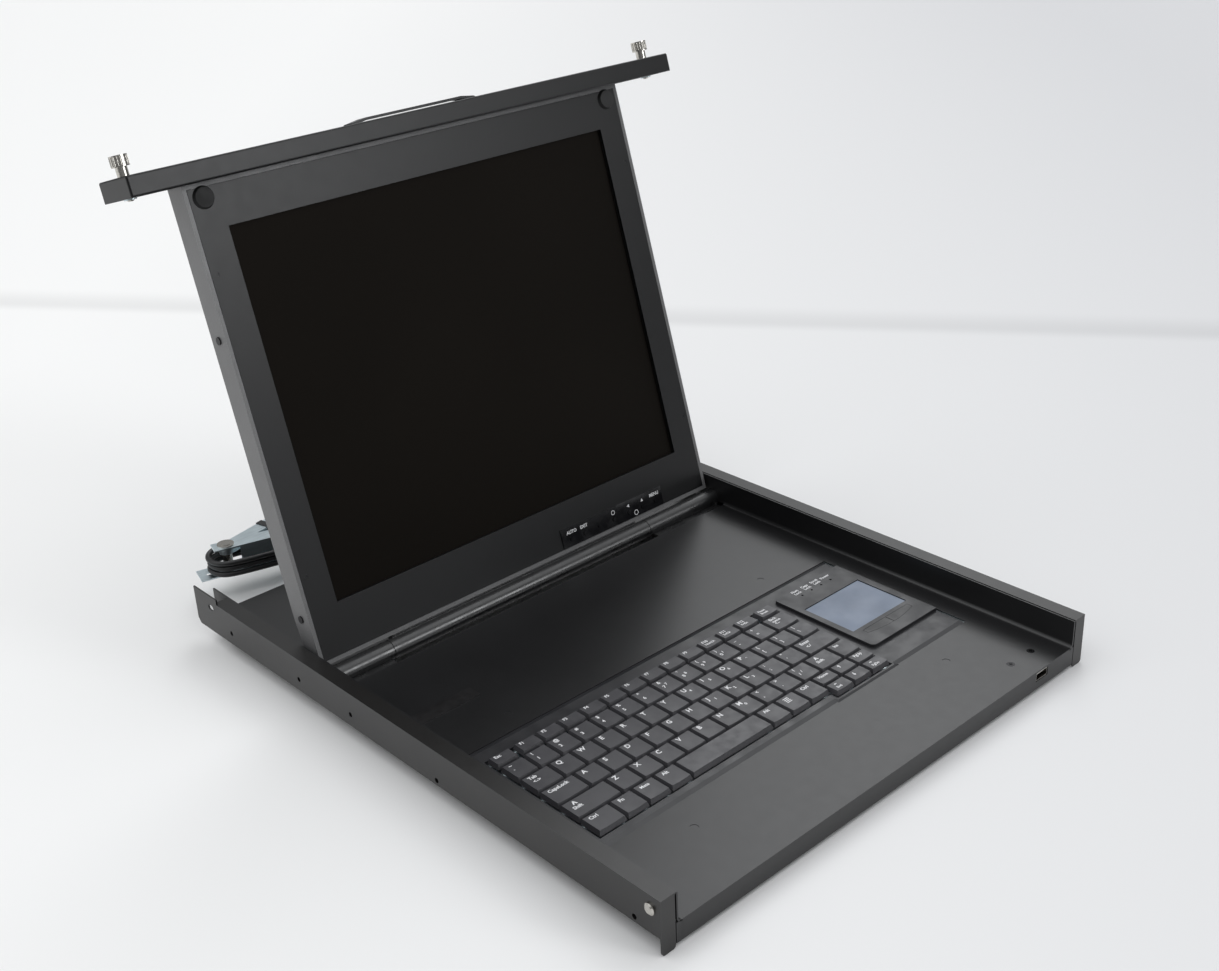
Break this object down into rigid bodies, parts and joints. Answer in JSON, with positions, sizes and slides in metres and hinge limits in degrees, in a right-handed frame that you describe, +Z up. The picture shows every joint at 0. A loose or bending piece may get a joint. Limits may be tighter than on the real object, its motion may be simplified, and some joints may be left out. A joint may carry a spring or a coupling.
{
  "type": "rackmount lcd console drawer",
  "caption": "Rack-height console drawer with a raised hinged flat screen, compact keyboard, touchpad, captive thumbscrews and a folding cable arm.",
  "frame": {"origin": "middle of the bottom cover's flat face, in the drawer's middle plane", "axes": "+X to the user's right, +Y towards the rear of the rack, +Z up"},
  "size_m": [0.4826, 0.5948, 0.3889],
  "materials": {
    "charcoal_powder": "fine textured charcoal powder coat",
    "rail_powder": "warm grey powder coat",
    "frame_plastic": "fine grained moulded plastic",
    "key_plastic": "dark grey moulded keycaps with white legends",
    "pad_film": "pale blue grey sensor film",
    "gloss_black": "gloss black",
    "screen_glass": "dark anti-glare screen",
    "barrel_satin": "satin black metal",
    "nickel_plate": "nickel plated steel",
    "zinc_plate": "bright zinc plated sheet",
    "satin_label": "bare satin plate",
    "board_green": "green solder mask",
    "black_rubber": "matt rubber",
    "cable_jacket": "matt cable jacket",
    "plug_plastic": "moulded plug"
  },
  "bodies": {
    "tray": {"tray_pan": "charcoal_powder", "side_rail_right": "rail_powder", "side_rail_left": "rail_powder", "tray_screws": "nickel_plate", "bottom_cover": "charcoal_powder", "controller_board": "board_green", "usb_socket": "nickel_plate", "blank_nameplate": "satin_label", "keyboard_frame": "frame_plastic", "keyboard_base": "zinc_plate", "touchpad_surface": "pad_film", "hinge_barrel_left": "barrel_satin", "hinge_barrel_right": "barrel_satin", "hinge_pins": "zinc_plate", "arm_bracket": "zinc_plate", "drawer_pivot_rivet": "nickel_plate", "cable_grommet": "black_rubber"},
    "display": {"display_back_cover": "charcoal_powder", "display_bezel": "charcoal_powder", "display_side_screws": "nickel_plate", "lcd_panel": "screen_glass", "osd_strip": "gloss_black", "front_bar": "charcoal_powder", "pull_handle": "charcoal_powder", "screw_sleeves": "nickel_plate", "rubber_bumpers": "black_rubber", "hinge_barrel_centre": "barrel_satin"},
    "arm_inner": {"arm_link_inner": "zinc_plate", "elbow_rivet": "nickel_plate", "cable_hank": "cable_jacket", "cable_lead": "cable_jacket", "cable_tail": "cable_jacket", "cable_plug": "plug_plastic"},
    "arm_outer": {"arm_link_outer": "zinc_plate", "cable_strap": "black_rubber"},
    "screw_slide_left": {"screw_clip_left": "zinc_plate"},
    "screw_slide_right": {"screw_clip_right": "zinc_plate"},
    "thumbscrew_left": {"captive_screw_left": "nickel_plate"},
    "thumbscrew_right": {"captive_screw_right": "nickel_plate"},
    "pad_button_left": {"touchpad_button_left": "frame_plastic"},
    "pad_button_right": {"touchpad_button_right": "frame_plastic"},
    "body_function_keys": {"function_keys": "key_plastic"},
    "body_number_keys": {"number_keys": "key_plastic"},
    "body_backspace_key": {"backspace_key": "key_plastic"},
    "body_tab_key": {"tab_key": "key_plastic"},
    "body_upper_letter_keys": {"upper_letter_keys": "key_plastic"},
    "body_caps_lock_key": {"caps_lock_key": "key_plastic"},
    "body_home_letter_keys": {"home_letter_keys": "key_plastic"},
    "body_enter_key": {"enter_key": "key_plastic"},
    "body_shift_keys": {"shift_keys": "key_plastic"},
    "body_lower_letter_keys": {"lower_letter_keys": "key_plastic"},
    "body_navigation_keys": {"navigation_keys": "key_plastic"},
    "body_modifier_keys": {"modifier_keys": "key_plastic"},
    "body_space_bar": {"space_bar": "key_plastic"},
    "body_osd_auto": {"osd_button_auto": "gloss_black"},
    "body_osd_exit": {"osd_button_exit": "gloss_black"},
    "body_osd_select": {"osd_button_select": "gloss_black"},
    "body_osd_left": {"osd_button_left": "gloss_black"},
    "body_osd_up": {"osd_button_up": "gloss_black"},
    "body_osd_menu": {"osd_button_menu": "gloss_black"}
  },
  "joints": [
    {"name": "display_hinge", "type": "hinge", "parent": "tray", "child": "display", "pos_m": [0, 0.177, 0.0196], "axis": [1, 0, 0], "range_deg": [-12, 106]},
    {"name": "arm_pivot", "type": "hinge", "parent": "tray", "child": "arm_inner", "pos_m": [-0.004, 0.333, 0.0194], "axis": [0, 0, -1], "range_deg": [0, 75]},
    {"name": "arm_elbow", "type": "hinge", "parent": "arm_inner", "child": "arm_outer", "pos_m": [-0.15799, 0.37571, 0.038], "axis": [0, 0, 1], "range_deg": [-8, 120]},
    {"name": "screw_push_left", "type": "slide", "parent": "display", "child": "screw_slide_left", "axis": [0, -0.2756, -0.9613], "range_m": [0, 0.0063], "stiffness_N_per_m": 300},
    {"name": "screw_turn_left", "type": "hinge", "parent": "screw_slide_left", "child": "thumbscrew_left", "pos_m": [-0.23255, 0.27834, 0.35995], "axis": [0, -0.2756, -0.9613], "continuous": true},
    {"name": "screw_push_right", "type": "slide", "parent": "display", "child": "screw_slide_right", "axis": [0, -0.2756, -0.9613], "range_m": [0, 0.0063], "stiffness_N_per_m": 300},
    {"name": "screw_turn_right", "type": "hinge", "parent": "screw_slide_right", "child": "thumbscrew_right", "pos_m": [0.23255, 0.27834, 0.35995], "axis": [0, -0.2756, -0.9613], "continuous": true},
    {"name": "press_pad_left", "type": "slide", "parent": "tray", "child": "pad_button_left", "axis": [0, 0, -1], "range_m": [0, 0.001], "stiffness_N_per_m": 600},
    {"name": "press_pad_right", "type": "slide", "parent": "tray", "child": "pad_button_right", "axis": [0, 0, -1], "range_m": [0, 0.001], "stiffness_N_per_m": 600},
    {"name": "press_osd_auto", "type": "slide", "parent": "display", "child": "body_osd_auto", "axis": [0, 0.9613, -0.2756], "range_m": [0, 0.0006], "stiffness_N_per_m": 600},
    {"name": "press_osd_exit", "type": "slide", "parent": "display", "child": "body_osd_exit", "axis": [0, 0.9613, -0.2756], "range_m": [0, 0.0006], "stiffness_N_per_m": 600},
    {"name": "press_osd_select", "type": "slide", "parent": "display", "child": "body_osd_select", "axis": [0, 0.9613, -0.2756], "range_m": [0, 0.0006], "stiffness_N_per_m": 600},
    {"name": "press_osd_left", "type": "slide", "parent": "display", "child": "body_osd_left", "axis": [0, 0.9613, -0.2756], "range_m": [0, 0.0006], "stiffness_N_per_m": 600},
    {"name": "press_osd_up", "type": "slide", "parent": "display", "child": "body_osd_up", "axis": [0, 0.9613, -0.2756], "range_m": [0, 0.0006], "stiffness_N_per_m": 600},
    {"name": "press_osd_menu", "type": "slide", "parent": "display", "child": "body_osd_menu", "axis": [0, 0.9613, -0.2756], "range_m": [0, 0.0006], "stiffness_N_per_m": 600},
    {"name": "press_function_keys", "type": "slide", "parent": "tray", "child": "body_function_keys", "axis": [0, 0, -1], "range_m": [0, 0.0022], "stiffness_N_per_m": 500},
    {"name": "press_number_keys", "type": "slide", "parent": "tray", "child": "body_number_keys", "axis": [0, 0, -1], "range_m": [0, 0.0022], "stiffness_N_per_m": 500},
    {"name": "press_backspace_key", "type": "slide", "parent": "tray", "child": "body_backspace_key", "axis": [0, 0, -1], "range_m": [0, 0.0022], "stiffness_N_per_m": 500},
    {"name": "press_tab_key", "type": "slide", "parent": "tray", "child": "body_tab_key", "axis": [0, 0, -1], "range_m": [0, 0.0022], "stiffness_N_per_m": 500},
    {"name": "press_upper_letter_keys", "type": "slide", "parent": "tray", "child": "body_upper_letter_keys", "axis": [0, 0, -1], "range_m": [0, 0.0022], "stiffness_N_per_m": 500},
    {"name": "press_caps_lock_key", "type": "slide", "parent": "tray", "child": "body_caps_lock_key", "axis": [0, 0, -1], "range_m": [0, 0.0022], "stiffness_N_per_m": 500},
    {"name": "press_home_letter_keys", "type": "slide", "parent": "tray", "child": "body_home_letter_keys", "axis": [0, 0, -1], "range_m": [0, 0.0022], "stiffness_N_per_m": 500},
    {"name": "press_enter_key", "type": "slide", "parent": "tray", "child": "body_enter_key", "axis": [0, 0, -1], "range_m": [0, 0.0022], "stiffness_N_per_m": 500},
    {"name": "press_shift_keys", "type": "slide", "parent": "tray", "child": "body_shift_keys", "axis": [0, 0, -1], "range_m": [0, 0.0022], "stiffness_N_per_m": 500},
    {"name": "press_lower_letter_keys", "type": "slide", "parent": "tray", "child": "body_lower_letter_keys", "axis": [0, 0, -1], "range_m": [0, 0.0022], "stiffness_N_per_m": 500},
    {"name": "press_navigation_keys", "type": "slide", "parent": "tray", "child": "body_navigation_keys", "axis": [0, 0, -1], "range_m": [0, 0.0022], "stiffness_N_per_m": 500},
    {"name": "press_modifier_keys", "type": "slide", "parent": "tray", "child": "body_modifier_keys", "axis": [0, 0, -1], "range_m": [0, 0.0022], "stiffness_N_per_m": 500},
    {"name": "press_space_bar", "type": "slide", "parent": "tray", "child": "body_space_bar", "axis": [0, 0, -1], "range_m": [0, 0.0022], "stiffness_N_per_m": 500}
  ]
}
